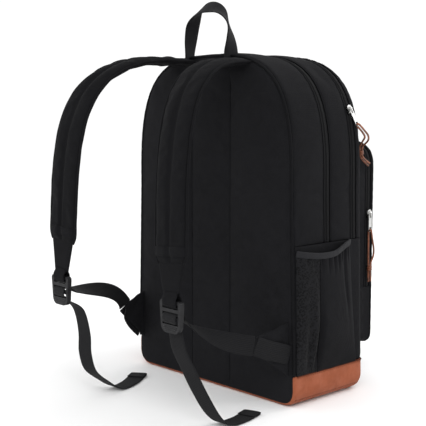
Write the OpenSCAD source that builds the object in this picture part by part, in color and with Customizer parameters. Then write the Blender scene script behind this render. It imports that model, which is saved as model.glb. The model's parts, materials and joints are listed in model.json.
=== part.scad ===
// School backpack: a soft two-compartment bag with a front pocket, two mesh side pockets,
// padded shoulder straps with ladder-lock buckles, and a leather base.
// The front faces -Y, the padded back panel faces +Y, and the bag stands on z = 0.
// Left and right are the wearer's, so left is on the -X side.

/* [Body] */
// Width across the side gussets
body_w = 300; // [280:1:320]
// Depth from the front panel to the back panel
body_d = 140; // [134:1:150]
// Height of the body without its haul loop
body_h = 450; // [440:1:456]
// Height at which the sides start to curve in
shoulder_z = 270; // [250:1:280]
// How square the top of the body is
arch_power = 3.1; // [2.6:0.1:3.6]
// Radius of the lower corners, seen from behind
corner_r = 22; // [12:1:30]
// How far each side spreads outwards at the foot
spread = 8; // [0:0.5:12]
// Thickness of a sewn fabric wall
wall = 2.5; // [2:0.1:3]

/* [Leather base] */
// Height of the leather band on the sides and the front
band_h = 42; // [34:1:50]
// Thickness of the leather and its backing
leather_t = 3; // [2:0.1:3]

/* [Compartments] */
// Width of a zip with its two tapes
zip_w = 12; // [9:1:14]
// Height at which the side panels end and the zips start
zip_start_z = 207; // [200:1:215]
// Thickness of the foam in the back panel
foam_t = 8; // [5:1:9]
// Width of the laptop sleeve
sleeve_w = 250; // [220:1:260]

/* [Front pocket] */
// Width of the front pocket
pocket_w = 244; // [220:1:248]
// How far the front pocket stands out
pocket_d = 60; // [50:1:64]
// Height of the front pocket's lower edge
pocket_base_z = 48; // [44:1:60]
// Height of the front pocket's top
pocket_top_z = 338; // [334:1:344]

/* [Side pockets] */
// How far a side pocket's mesh stands off the side
mesh_bow = 13; // [11:1:16]
// Height of a side pocket's elastic binding
binding_h = 9; // [6:1:12]

/* [Straps] */
// Width of a shoulder pad
pad_w = 58; // [52:1:60]
// Thickness of a shoulder pad
pad_t = 13; // [9:1:14]
// Width of the webbing
webbing_w = 25; // [20:1:26]
// Thickness of the webbing as it is sewn
webbing_t = 2; // [1.5:0.1:2]

/* [Haul loop] */
// Width of the haul loop over its feet
loop_w = 86; // [76:1:96]
// Height of the haul loop above the body
loop_h = 68; // [60:1:74]

/* [Zip pulls] */
// Length of a metal pull tab
tab_l = 25; // [22:1:26]
// Width of a metal pull tab
tab_w = 6.4; // [6:0.1:7]
// Diameter of a leather lace
lace_d = 2.6; // [2:0.1:2.8]

/* [Hidden] */
front_y = -body_d / 2;
back_y = body_d / 2;
piping_t = 4;
lining_t = 2;
foam_back_y = back_y - piping_t;
lining_y = foam_back_y - foam_t - lining_t;
main_zip_y = 3;
front_zip_y = -50;
divider_y = -32;
arch_step = 5;
corner_step = 15;

pocket_front_y = front_y - pocket_d;
pocket_zip_y = pocket_front_y + 12;
pocket_zip_end_z = 130;
pocket_shoulder_z = pocket_top_z - 50;
pocket_power = 4;
pocket_corner_r = 14;

sleeve_y = lining_y - 20;
sleeve_base_z = 12;
sleeve_top_z = 330;

side_pocket_y0 = -42;
side_pocket_y1 = 66;
side_pocket_y = (side_pocket_y0 + side_pocket_y1) / 2;
side_pocket_half = (side_pocket_y1 - side_pocket_y0) / 2;
mesh_r = (side_pocket_half * side_pocket_half + mesh_bow * mesh_bow) / (2 * mesh_bow);
mesh_t = 2;
mesh_top_z = zip_start_z - binding_h;

wing_low_z = 39;
wing_high_z = 112;
right_tip = [[48, 85.5], [26, 96.5]];
left_tip = [[50, 80], [50, 94]];
wing_turn = 8;
wing_x = body_w / 2 - leather_t;

// Centre lines of the two shoulder straps, each from the panel to the buckle
right_curve = [[50, 76, 440.5], [76, 272, 458], [85, 240, 328], [101, 243, 162]];
left_curve = [[-50, 76, 438], [-69, 189, 436], [-86, 214, 373], [-102, 224, 156]];
right_pad_end = 0.91;
left_pad_end = 0.935;
pad_rings = 16;
root_gap = 1.3;
root_y = 80;
taper_t = 3;
taper_start_w = 50;
taper_end_w = 29;
// Lower webbing, from each buckle to the tip of its wing
right_lower = [[101, 230, 138], [120, 190, 128], [139.5, 124.5, 130], [140.4, 108.5, 94.5]];
left_lower = [[-102, 211, 131], [-104, 196, 112], [-125, 152, 92], [-138.5, 122.5, 88]];
lower_rings = 12;
// Free ends of the webbing, down to the ground and along it
right_tail = [[102, 225, 117], [99, 214, 100], [95, 212, 76], [88, 216, 52], [80, 213, 30],
    [71, 196, 13], [67, 183, 4.5], [68, 172, 1.6], [76, 151, 1.2], [89, 131, 1.2], [100, 115, 1.6]];
left_tail = [[-103, 223, 111], [-108, 217, 92], [-117, 210, 68], [-127, 203, 44], [-136, 193, 20],
    [-140, 181, 6], [-141, 167, 1.6], [-140, 150, 1.2], [-136, 133, 1.2], [-131, 117, 1.6]];

buckle_w = 38;
buckle_h = 39;
buckle_t = 6;
buckle_gap = 2.4;
bar_h = 4.2;
slot_h = 5.4;
slot_w = 28;
bar_r = 4;
// The lifting tongue at the foot of a ladder lock: its corner radius, and its taper per side
tongue_r = 10;
tongue_in = 2;

loop_y = 68;
loop_axis_z = 463;
loop_t = 3;
loop_power = 1.3;
lap_gap = 0.3;
foot_top_z = 474;
foot_base_z = body_h - 1;

slider_w = 9;
slider_l = 12;
slider_t = 3;
slider_gap = 0.3;
bridge_w = 1.8;
bridge_r = 3.6;
bridge_inner_r = 2;
pivot_out = 4.2;
lace_hole_h = 5;
tab_t = 1.2;
tab_arm = 1.2;
tab_bar_r = 0.7;
// Where each slider sits on its zip: its place, and how far the zip leans back there
main_slider_at = [146, main_zip_y, 350];
main_slider_tilt = 9;
front_slider_at = [-139.6, front_zip_y, 377];
front_slider_tilt = 18;
pocket_slider_at = [-pocket_w / 2, pocket_zip_y, 233];
main_pull_tilt = 2;
front_pull_lean = 16;
// Lace that hangs straight, in the frame of its pull: out from the bag, across and up
hanging_loop = [[-1.6, 0, -73], [-2, 0, -66], [-2.3, 0, -50], [-2.3, 0, -32], [-2.2, 0, -24.5],
    [0, 0, -21.7], [2.4, 0, -24.5], [4.2, 0, -34], [7, 0, -48], [6.5, 0, -58], [3.2, 0, -66],
    [1.6, 0, -73]];
hanging_tails = [[[-1.5, 0, -81.4], [-1.8, 0, -88], [-1.6, 0, -96]],
    [[1.5, 0, -81.4], [1.9, 0, -88], [2.4, 0, -95]]];
hanging_knot = [0, 0, -77.2];
// Lace that lies forward over the shoulder of the front pocket
front_loop = [[-127.8, -90.4, 323.6], [-128.8, -89.4, 328], [-138.5, -82.5, 334.5],
    [-149, -74, 341], [-150.9, -67, 347], [-149.6, -61.5, 352.5], [-148.9, -57.1, 356.3],
    [-150, -56, 358.7], [-153, -57, 357.8], [-155.6, -64, 350.5], [-156, -72, 343.5],
    [-149.5, -81, 337], [-138, -89.5, 331.5], [-131.4, -92.6, 328.2], [-130.4, -92.6, 323.6]];
front_tails = [[[-127.8, -92.2, 315], [-127.2, -96, 310.5], [-126.4, -105, 304.5],
    [-126, -112, 300.5]],
    [[-130.4, -92.8, 315], [-130.6, -96.5, 311], [-130.4, -104, 306.5], [-130.2, -109.5, 304]]];
front_knot = [-129.1, -91.5, 319.3];
knot_r = 3.6;
knot_l = 7.6;

// ---- outlines, seen along Y ----

// Power that keeps the sign of its base
function signed_pow(v, p) = sign(v) * pow(abs(v), p);

// Upright outline: rounded lower corners, straight sides and a squarish arch
function outline(half_w, base_z, spring_z, top_z, power, r) = concat(
    [for (a = [-90 : corner_step : 0])
        [half_w - r + r * cos(a), base_z + r + r * sin(a)]],
    [for (a = [0 : arch_step : 180])
        [half_w * signed_pow(cos(a), 2 / power),
            spring_z + (top_z - spring_z) * pow(sin(a), 2 / power)]],
    [for (a = [180 : corner_step : 270])
        [-half_w + r + r * cos(a), base_z + r + r * sin(a)]]);

// The bag's own outline, which spreads a little towards its foot
module body_outline(inset) {
    points = outline(body_w / 2 - inset, inset, shoulder_z, body_h - inset, arch_power,
        corner_r - inset);
    polygon([for (p = points)
        [p[0] + sign(p[0]) * spread * max(0, 1 - p[1] / shoulder_z), p[1]]]);
}

module pocket_outline(inset) {
    polygon(outline(pocket_w / 2 - inset, pocket_base_z + inset, pocket_shoulder_z,
        pocket_top_z - inset, pocket_power, pocket_corner_r - inset));
}

// The part of a flat shape between two heights
module band(z0, z1) {
    intersection() {
        children();
        translate([-body_w, z0])
            square([2 * body_w, z1 - z0]);
    }
}

// A flat shape in X and Z made solid from y0 to y1
module along_y(y0, y1) {
    translate([0, y1, 0])
        rotate([90, 0, 0])
            linear_extrude(y1 - y0)
                children();
}

// A strip of the body's upper wall
module arch_strip(y0, y1) {
    along_y(y0, y1)
        band(zip_start_z, body_h)
            difference() {
                body_outline(0);
                body_outline(wall);
            }
}

module on_left() {
    mirror([1, 0, 0])
        children();
}

// ---- swept webbing and laces ----

function unit(v) = v / norm(v);
function bezier(p, t) = pow(1 - t, 3) * p[0] + 3 * t * pow(1 - t, 2) * p[1]
    + 3 * t * t * (1 - t) * p[2] + pow(t, 3) * p[3];
function tangent(path, i) = unit(path[min(i + 1, len(path) - 1)] - path[max(i - 1, 0)]);

// Four corners of a flat section that is square to the path
function section(path, i, side, w, t) = let(
    along = tangent(path, i),
    across = unit(side - (side * along) * along),
    up = cross(along, across))
    [for (k = [[-1, -1], [1, -1], [1, 1], [-1, 1]])
        path[i] + k[0] * w / 2 * across + k[1] * t / 2 * up];

// Closed solid through rings of n points each
module skin(rings, n) {
    last = len(rings) - 1;
    polyhedron(
        points = [for (ring = rings) for (p = ring) p],
        faces = concat(
            [[for (k = [0 : n - 1]) k]],
            [for (i = [0 : last - 1]) for (k = [0 : n - 1])
                [i * n + k, (i + 1) * n + k, i * n + (k + 1) % n]],
            [for (i = [0 : last - 1]) for (k = [0 : n - 1])
                [i * n + (k + 1) % n, (i + 1) * n + k, (i + 1) * n + (k + 1) % n]],
            [[for (k = [n - 1 : -1 : 0]) last * n + k]]),
        convexity = 6);
}

// Flat strap along a path, with one width and one side direction per point
module ribbon(path, widths, t, sides) {
    skin([for (i = [0 : len(path) - 1]) section(path, i, sides[i], widths[i], t)], 4);
}

// Round lace along a path that lies in the X-Z plane or leans out of it
module lace_tube(path) {
    sides = 8;
    skin([for (i = [0 : len(path) - 1]) let(
        along = tangent(path, i),
        across = unit(cross([0, 1, 0], along)),
        up = cross(along, across))
        [for (k = [0 : sides - 1])
            path[i] + lace_d / 2 * (cos(360 * k / sides) * across + sin(360 * k / sides) * up)]],
        sides);
}

// ---- bag body ----

module back_panel() {
    color("#1c1c1e")
        along_y(foam_back_y, back_y)
            body_outline(leather_t);
}

module back_foam() {
    color("#4a4a4c")
        along_y(foam_back_y - foam_t, foam_back_y)
            body_outline(leather_t);
}

module back_lining() {
    color("#2a2a2d")
        along_y(lining_y, lining_y + lining_t)
            body_outline(leather_t);
}

module seam_piping() {
    color("#101011")
        along_y(foam_back_y, back_y)
            band(band_h, body_h)
                difference() {
                    body_outline(0);
                    body_outline(leather_t);
                }
}

module back_gusset() {
    color("#1f1f22")
        arch_strip(main_zip_y + zip_w / 2, foam_back_y);
}

module main_zip() {
    color("#0c0c0d")
        arch_strip(main_zip_y - zip_w / 2, main_zip_y + zip_w / 2);
}

module middle_gusset() {
    color("#1f1f22")
        arch_strip(front_zip_y + zip_w / 2, main_zip_y - zip_w / 2);
}

module front_zip() {
    color("#0c0c0d")
        arch_strip(front_zip_y - zip_w / 2, front_zip_y + zip_w / 2);
}

module front_gusset() {
    color("#1f1f22")
        arch_strip(front_y + leather_t, front_zip_y - zip_w / 2);
}

module front_panel() {
    color("#1c1c1e")
        along_y(front_y, front_y + leather_t)
            band(band_h, body_h)
                body_outline(0);
}

module side_panel_right() {
    color("#1f1f22")
        along_y(front_y + leather_t, foam_back_y)
            intersection() {
                difference() {
                    body_outline(0);
                    body_outline(wall);
                }
                translate([0, band_h])
                    square([body_w, zip_start_z - band_h]);
            }
}

module side_panel_left() {
    on_left()
        side_panel_right();
}

module base_panel() {
    color("#a8562c")
        difference() {
            along_y(front_y, back_y)
                band(0, band_h)
                    body_outline(0);
            along_y(front_y + leather_t, back_y + 1)
                body_outline(leather_t);
        }
}

module compartment_divider() {
    color("#2a2a2d")
        along_y(divider_y, divider_y + lining_t)
            body_outline(leather_t);
}

module laptop_sleeve() {
    color("#333336")
        difference() {
            translate([-sleeve_w / 2, sleeve_y, sleeve_base_z])
                cube([sleeve_w, lining_y - sleeve_y, sleeve_top_z - sleeve_base_z]);
            translate([-sleeve_w / 2 + wall, sleeve_y + wall, sleeve_base_z + wall])
                cube([sleeve_w - 2 * wall, lining_y - sleeve_y, sleeve_top_z]);
        }
}

// ---- front pocket ----

module pocket_panel() {
    color("#1c1c1e")
        along_y(pocket_front_y, pocket_front_y + leather_t)
            pocket_outline(0);
}

module pocket_wall() {
    difference() {
        pocket_outline(0);
        pocket_outline(wall);
    }
}

module pocket_zip() {
    color("#0c0c0d")
        along_y(pocket_zip_y - zip_w / 2, pocket_zip_y + zip_w / 2)
            band(pocket_zip_end_z, pocket_top_z)
                pocket_wall();
}

module pocket_gusset() {
    color("#1f1f22")
        union() {
            along_y(pocket_front_y + leather_t, pocket_zip_y - zip_w / 2)
                pocket_wall();
            along_y(pocket_zip_y - zip_w / 2, pocket_zip_y + zip_w / 2)
                band(pocket_base_z, pocket_zip_end_z)
                    pocket_wall();
            along_y(pocket_zip_y + zip_w / 2, front_y)
                pocket_wall();
        }
}

// ---- side pockets ----

// Leans a side pocket with the side of the bag behind it
module leaned() {
    multmatrix([[1, 0, -spread / shoulder_z, spread], [0, 1, 0, 0], [0, 0, 1, 0], [0, 0, 0, 1]])
        children();
}

// Bowed wall that stands off the side of the bag, from r0 to r1 about its own centre
module bowed_wall(r0, r1, z0, z1) {
    intersection() {
        translate([body_w / 2 + mesh_bow - mesh_r, side_pocket_y, z0])
            difference() {
                cylinder(r = r1, h = z1 - z0, $fn = 180);
                translate([0, 0, -1])
                    cylinder(r = r0, h = z1 - z0 + 2, $fn = 180);
            }
        translate([body_w / 2, side_pocket_y - body_d, z0])
            cube([body_w / 2, 2 * body_d, z1 - z0]);
    }
}

module side_pocket_right() {
    color("#17171a")
        leaned() {
            bowed_wall(mesh_r - mesh_t, mesh_r, band_h, mesh_top_z);
            bowed_wall(mesh_r - 2 * mesh_bow, mesh_r, band_h, band_h + mesh_t);
        }
}

module side_pocket_left() {
    on_left()
        side_pocket_right();
}

module pocket_binding_right() {
    color("#0e0e10")
        leaned()
            bowed_wall(mesh_r - mesh_t - 1, mesh_r + 1, mesh_top_z, zip_start_z);
}

module pocket_binding_left() {
    on_left()
        pocket_binding_right();
}

// ---- strap fixings on the bag ----

// Tab that holds the lower webbing. Its tip edge runs between two points, each given as how far
// it is out of the seam and how high it is.
module strap_wing(tip) {
    translate([wing_x, back_y, 0])
        rotate([0, 0, wing_turn])
            rotate([90, 0, 90])
                translate([0, 0, -leather_t])
                    linear_extrude(leather_t)
                        polygon([[0.5, wing_low_z], tip[0], tip[1], [0.5, wing_high_z]]);
}

module strap_wing_right() {
    color("#1a1a1c")
        strap_wing(right_tip);
}

module strap_wing_left() {
    color("#1a1a1c")
        on_left()
            strap_wing(left_tip);
}

// Point about which a strap's upper end turns
function root_point(curve) = bezier(curve, root_t(curve));
function root_t(curve) = 1.07 * pad_w / 2 / norm(3 * (curve[1] - curve[0]));

module strap_root(curve) {
    pivot = root_point(curve);
    difference() {
        translate([pivot[0] - pad_w / 2, back_y, pivot[2] - pad_t / 2])
            cube([pad_w, root_y - back_y, pad_t]);
        translate([pivot[0], pivot[1], pivot[2] - pad_t])
            cylinder(r = pad_w / 2 + root_gap, h = 2 * pad_t, $fn = 120);
    }
}

module strap_root_right() {
    color("#1a1a1c")
        strap_root(right_curve);
}

module strap_root_left() {
    color("#1a1a1c")
        strap_root(left_curve);
}

// ---- haul loop ----

module haul_loop_feet() {
    color("#151517")
        for (side = [0, 1])
            mirror([side, 0, 0])
                translate([loop_w / 2 + lap_gap, loop_y - webbing_w / 2, foot_base_z])
                    cube([loop_t, webbing_w, foot_top_z - foot_base_z]);
}

module haul_loop() {
    outer = outline(loop_w / 2, 0, loop_axis_z, body_h + loop_h, loop_power, 1);
    inner = outline(loop_w / 2 - loop_t, 0, loop_axis_z, body_h + loop_h - loop_t,
        loop_power, 1);
    color("#151517")
        union() {
            along_y(loop_y - webbing_w / 2, loop_y + webbing_w / 2)
                band(loop_axis_z, body_h + loop_h)
                    difference() {
                        polygon(outer);
                        polygon(inner);
                    }
            for (side = [0, 1])
                mirror([side, 0, 0])
                    translate([loop_w / 2 - loop_t, loop_y, loop_axis_z])
                        rotate([0, 90, 0])
                            cylinder(r = webbing_w / 2, h = loop_t, $fn = 64);
        }
}

// ---- shoulder straps ----

// Width of the pad, which is round where it turns at the bag
function pad_width(d) = d < pad_w / 2 ? 2 * sqrt(pow(pad_w / 2, 2) - pow(pad_w / 2 - d, 2)) : pad_w;

module strap_pad(curve, end) {
    turn = root_t(curve);
    ts = concat([for (k = [0.03, 0.12, 0.3, 0.6]) k * turn],
        [for (k = [0 : pad_rings]) turn + (end - turn) * k / pad_rings]);
    path = [for (t = ts) bezier(curve, t)];
    ribbon(path, [for (p = path) pad_width(norm(p - curve[0]))], pad_t,
        [for (p = path) [1, 0, 0]]);
}

module strap_pad_right() {
    color("#18181a")
        strap_pad(right_curve, right_pad_end);
}

module strap_pad_left() {
    color("#18181a")
        strap_pad(left_curve, left_pad_end);
}

module strap_taper(curve, start) {
    rings = 5;
    path = [for (k = [0 : rings]) bezier(curve, start + (1 - start) * (k + 0.1) / (rings + 0.1))];
    ribbon(path, [for (k = [0 : rings]) taper_start_w + (taper_end_w - taper_start_w) * k / rings],
        taper_t, [for (p = path) [1, 0, 0]]);
}

module strap_taper_right() {
    color("#151517")
        strap_taper(right_curve, right_pad_end);
}

module strap_taper_left() {
    color("#151517")
        strap_taper(left_curve, left_pad_end);
}

// Webbing that is flat at the buckle and upright at the wing
module lower_webbing(curve) {
    ribbon([for (k = [0 : lower_rings]) bezier(curve, k / lower_rings)],
        [for (k = [0 : lower_rings]) webbing_w], webbing_t,
        [for (k = [0 : lower_rings]) let(turn = 90 * k / lower_rings)
            [cos(turn), 0, sin(turn)]]);
}

module lower_webbing_right() {
    color("#131315")
        lower_webbing(right_lower);
}

module lower_webbing_left() {
    color("#131315")
        lower_webbing(left_lower);
}

module webbing_tail(path) {
    ribbon(path, [for (p = path) webbing_w], webbing_t, [for (p = path) [1, 0, 0]]);
}

module webbing_tail_right() {
    color("#131315")
        webbing_tail(right_tail);
}

module webbing_tail_left() {
    color("#131315")
        webbing_tail(left_tail);
}

// Ladder lock: a flat frame with three slots, hanging from the end of its strap
module ladder_lock(curve) {
    slots = [for (k = [0 : 2]) -bar_h - slot_h - k * (bar_h + slot_h)];
    translate([curve[3][0], curve[3][1] + buckle_t / 2, curve[3][2] - buckle_gap])
        rotate([90, 0, 0])
            linear_extrude(buckle_t)
                difference() {
                    hull()
                        for (x = [-1, 1]) {
                            translate([x * (buckle_w / 2 - bar_r), -bar_r])
                                circle(r = bar_r, $fn = 48);
                            translate([x * (buckle_w / 2 - tongue_in - tongue_r),
                                tongue_r - buckle_h])
                                circle(r = tongue_r, $fn = 64);
                        }
                    for (z = slots)
                        translate([-slot_w / 2, z])
                            square([slot_w, slot_h]);
                }
}

module buckle_right() {
    color("#0b0b0c")
        ladder_lock(right_curve);
}

module buckle_left() {
    color("#0b0b0c")
        ladder_lock(left_curve);
}

// ---- zip sliders, pull tabs and laces ----

// Puts a part made in the slider's own frame (+X out of the bag, origin on the zip) in place
module at_main_zip() {
    translate(main_slider_at)
        rotate([0, -main_slider_tilt, 0])
            children();
}

module at_front_zip() {
    translate(front_slider_at)
        rotate([0, front_slider_tilt, 0])
            rotate([0, 0, 180])
                children();
}

module at_pocket_zip() {
    translate(pocket_slider_at)
        rotate([0, 0, 180])
            children();
}

// Turns a pull about its bar: tilt swings it towards the bag, and lean along the zip's side
module hung(tilt, lean) {
    translate([pivot_out, 0, 0])
        rotate([lean, tilt, 0])
            children();
}

module slider() {
    translate([slider_gap, 0, 0])
        rotate([90, 0, 90])
            linear_extrude(slider_t)
                union() {
                    translate([0, slider_l / 2 - slider_w / 2])
                        circle(d = slider_w, $fn = 48);
                    translate([-slider_w / 2 + 1, -slider_l / 2])
                        square([slider_w - 2, slider_l - slider_w / 2]);
                }
    translate([slider_gap + slider_t - 0.4, bridge_w / 2, 0])
        rotate([90, 0, 0])
            linear_extrude(bridge_w)
                intersection() {
                    difference() {
                        circle(r = bridge_r, $fn = 48);
                        circle(r = bridge_inner_r, $fn = 48);
                    }
                    translate([0, -bridge_r])
                        square([bridge_r, 2 * bridge_r]);
                }
}

// The tab hangs from a small bar under the slider's bridge
module pull_tab() {
    translate([0, tab_w / 2, 0])
        rotate([90, 0, 0])
            cylinder(r = tab_bar_r, h = tab_w, $fn = 32);
    translate([-tab_t / 2, 0, 0])
        rotate([90, 0, 90])
            linear_extrude(tab_t)
                difference() {
                    translate([-tab_w / 2, -tab_l])
                        square([tab_w, tab_l]);
                    translate([-tab_w / 2 + tab_arm, -slider_l / 2])
                        square([tab_w - 2 * tab_arm, slider_l]);
                    translate([-tab_w / 2 + tab_arm, -tab_l + tab_arm])
                        square([tab_w - 2 * tab_arm, lace_hole_h]);
                }
}

module lace(loop, knot, tails) {
    lace_tube(loop);
    translate(knot - [0, 0, knot_l / 2])
        cylinder(r = knot_r, h = knot_l, $fn = 48);
    for (tail = tails)
        lace_tube(tail);
}

module main_slider() {
    color("#c9c9cc")
        at_main_zip()
            slider();
}

module front_slider() {
    color("#c9c9cc")
        at_front_zip()
            slider();
}

module pocket_slider() {
    color("#c9c9cc")
        at_pocket_zip()
            slider();
}

module main_pull_tab() {
    color("#d4d4d6")
        at_main_zip()
            hung(main_pull_tilt, 0)
                pull_tab();
}

module front_pull_tab() {
    color("#d4d4d6")
        at_front_zip()
            hung(0, front_pull_lean)
                pull_tab();
}

module pocket_pull_tab() {
    color("#d4d4d6")
        at_pocket_zip()
            hung(0, 0)
                pull_tab();
}

module main_lace() {
    color("#6b3a22")
        at_main_zip()
            hung(main_pull_tilt, 0)
                lace(hanging_loop, hanging_knot, hanging_tails);
}

module front_lace() {
    color("#6b3a22")
        lace(front_loop, front_knot, front_tails);
}

module pocket_lace() {
    color("#6b3a22")
        at_pocket_zip()
            hung(0, 0)
                lace(hanging_loop, hanging_knot, hanging_tails);
}

back_panel();
back_foam();
back_lining();
seam_piping();
back_gusset();
main_zip();
middle_gusset();
front_zip();
front_gusset();
front_panel();
side_panel_left();
side_panel_right();
base_panel();
compartment_divider();
laptop_sleeve();
pocket_panel();
pocket_gusset();
pocket_zip();
side_pocket_left();
side_pocket_right();
pocket_binding_left();
pocket_binding_right();
strap_wing_left();
strap_wing_right();
strap_root_left();
strap_root_right();
haul_loop_feet();
haul_loop();
strap_pad_left();
strap_pad_right();
strap_taper_left();
strap_taper_right();
lower_webbing_left();
lower_webbing_right();
buckle_left();
buckle_right();
webbing_tail_left();
webbing_tail_right();
main_slider();
front_slider();
pocket_slider();
main_pull_tab();
front_pull_tab();
pocket_pull_tab();
main_lace();
front_lace();
pocket_lace();
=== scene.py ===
import json
import math

import bpy
import numpy as np
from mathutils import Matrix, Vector, noise


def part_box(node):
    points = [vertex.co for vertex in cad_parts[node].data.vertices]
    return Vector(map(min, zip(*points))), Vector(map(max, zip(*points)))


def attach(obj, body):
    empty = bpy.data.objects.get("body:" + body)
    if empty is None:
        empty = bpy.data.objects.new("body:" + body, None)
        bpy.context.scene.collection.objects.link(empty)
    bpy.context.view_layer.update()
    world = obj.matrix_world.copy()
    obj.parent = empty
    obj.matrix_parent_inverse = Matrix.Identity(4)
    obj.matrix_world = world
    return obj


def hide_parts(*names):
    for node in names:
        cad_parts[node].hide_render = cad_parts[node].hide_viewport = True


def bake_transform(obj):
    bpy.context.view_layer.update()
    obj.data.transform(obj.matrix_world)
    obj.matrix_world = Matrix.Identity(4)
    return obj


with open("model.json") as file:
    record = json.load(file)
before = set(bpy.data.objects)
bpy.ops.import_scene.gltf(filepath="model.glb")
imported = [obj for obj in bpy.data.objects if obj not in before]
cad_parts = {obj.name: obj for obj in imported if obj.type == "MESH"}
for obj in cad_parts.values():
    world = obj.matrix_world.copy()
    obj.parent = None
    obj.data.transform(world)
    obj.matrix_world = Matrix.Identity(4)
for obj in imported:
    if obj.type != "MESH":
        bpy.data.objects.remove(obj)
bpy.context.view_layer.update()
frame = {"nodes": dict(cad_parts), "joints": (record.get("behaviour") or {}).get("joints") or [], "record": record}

# A school backpack seen from behind and from its left: black woven fabric, padded back panel
# and straps, mesh side pockets, a tan leather base and leather laces on its zip pulls.
# Everything is in metres, in the part's own frame: the back panel faces +Y.

MM = 0.001
scene = bpy.context.scene
scene.view_settings.view_transform = "Standard"

# ---- sizes read from the frame

base_lo, base_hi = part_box("base_panel")
FRONT_Y, BACK_Y = base_lo.y, base_hi.y
BAND_Z = base_hi.z
TOP_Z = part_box("front_panel")[1].z
ZIP_START_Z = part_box("main_zip")[0].z
MAIN_ZIP, FRONT_ZIP, POCKET_ZIP = ([corner.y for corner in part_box(f"{name}_zip")]
                                   for name in ("main", "front", "pocket"))
pocket_lo, pocket_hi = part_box("pocket_gusset")
POCKET_FRONT_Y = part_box("pocket_panel")[0].y
POCKET_ZIP_END_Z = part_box("pocket_zip")[0].z


def mm(*points):
    """Points that are written in millimetres."""
    return np.array(points) * MM


# Shape of the outlines, as in the CAD model
HALF_W = 0.150
SPREAD = 0.008
SHOULDER_Z = 0.270
ARCH_POWER = 3.1
CORNER_R = 0.022
POCKET_SHOULDER_Z = pocket_hi.z - 0.050
POCKET_POWER = 4.0
POCKET_CORNER_R = 0.014

# Shoulder straps: control points of each centre line, from the panel to the buckle
STRAPS = {
    "right": mm([50, 76, 440.5], [76, 272, 458], [85, 240, 328], [101, 243, 162]),
    "left": mm([-50, 76, 438], [-69, 189, 436], [-86, 214, 373], [-102, 224, 156]),
}
# The webbing from the buckle to the wing, and the loose end that hangs to the floor
LOWER = {
    "right": mm([101, 230, 138], [120, 190, 128], [139.5, 124.5, 130], [140.4, 108.5, 94.5]),
    "left": mm([-102, 211, 131], [-104, 196, 112], [-125, 152, 92], [-138.5, 122.5, 88]),
}
TAILS = {
    "right": mm([102, 225, 117], [99, 214, 100], [95, 212, 76], [88, 216, 52], [80, 213, 30],
                [71, 196, 13], [67, 183, 4.5], [68, 172, 1.6], [76, 151, 1.2],
                [89, 131, 1.2], [100, 115, 1.6]),
    "left": mm([-103, 223, 111], [-108, 217, 92], [-117, 210, 68], [-127, 203, 44],
               [-136, 193, 20], [-140, 181, 6], [-141, 167, 1.6], [-140, 150, 1.2],
               [-136, 133, 1.2], [-131, 117, 1.6]),
}
# How far along its centre line each pad reaches, from 0 at the panel to 1 at the buckle
PAD_END_T = {"right": 0.91, "left": 0.935}
# The corners of each wing's tip: how far out of the seam, and how high
WING_TIPS = {"right": mm([50.5, 88], [27, 100.5]), "left": mm([50, 78], [50, 98])}
PAD_W, PAD_T = 58 * MM, 11.5 * MM
HEM_L = 21 * MM
WEBBING_W = 25 * MM
WEBBING_T = 1.7 * MM
LACE_D = 2.6 * MM


# ---- camera, floor and light

def add(name, data):
    """A new object in the scene."""
    obj = bpy.data.objects.new(name, data)
    scene.collection.objects.link(obj)
    return obj


def set_camera():
    """The photograph's view: from behind, over the wearer's left side, slightly above."""
    azimuth, elevation = math.radians(227.31), math.radians(6.17)
    data = bpy.data.cameras.new("camera")
    data.sensor_width = 36
    data.lens = 79.5
    data.clip_start, data.clip_end = 0.05, 60
    camera = add("camera", data)
    back = Vector((math.sin(azimuth) * math.cos(elevation),
                   -math.cos(azimuth) * math.cos(elevation), math.sin(elevation)))
    camera.location = (-0.9365, 0.9278, 0.3751)
    camera.rotation_mode = "QUATERNION"
    camera.rotation_quaternion = (-back).to_track_quat("-Z", "Y")
    scene.camera = camera


def area_light(name, place, target, size, power):
    """A square soft light that faces its target."""
    data = bpy.data.lights.new(name, "AREA")
    data.size = size
    data.energy = power
    light = add(name, data)
    light.location = place
    light.rotation_mode = "QUATERNION"
    light.rotation_quaternion = (Vector(target) - Vector(place)).to_track_quat("-Z", "Y")


def set_studio():
    """A white world, three soft lights and a pale floor."""
    world = bpy.data.worlds.new("studio")
    world.use_nodes = True
    background = world.node_tree.nodes["Background"]
    background.inputs["Color"].default_value = (1, 1, 1, 1)
    background.inputs["Strength"].default_value = 1.06
    scene.world = world
    middle = (0, 0.05, 0.25)
    area_light("key", (-1.6, 1.2, 1.9), middle, 1.2, 15)
    area_light("fill", (1.3, 1.8, 0.9), middle, 1.4, 7)
    area_light("rim", (-0.6, -1.9, 1.4), middle, 1.2, 16)
    mesh = bpy.data.meshes.new("floor")
    reach = 20
    mesh.from_pydata([(-reach, -reach, 0), (reach, -reach, 0), (reach, reach, 0),
                      (-reach, reach, 0)], [], [(0, 1, 2, 3)])
    floor = add("floor", mesh)
    pale = Shade("floor_paint", (0.97, 0.97, 0.97), 0.7, 0.1)
    mesh.materials.append(pale.material)


# ---- materials

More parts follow.
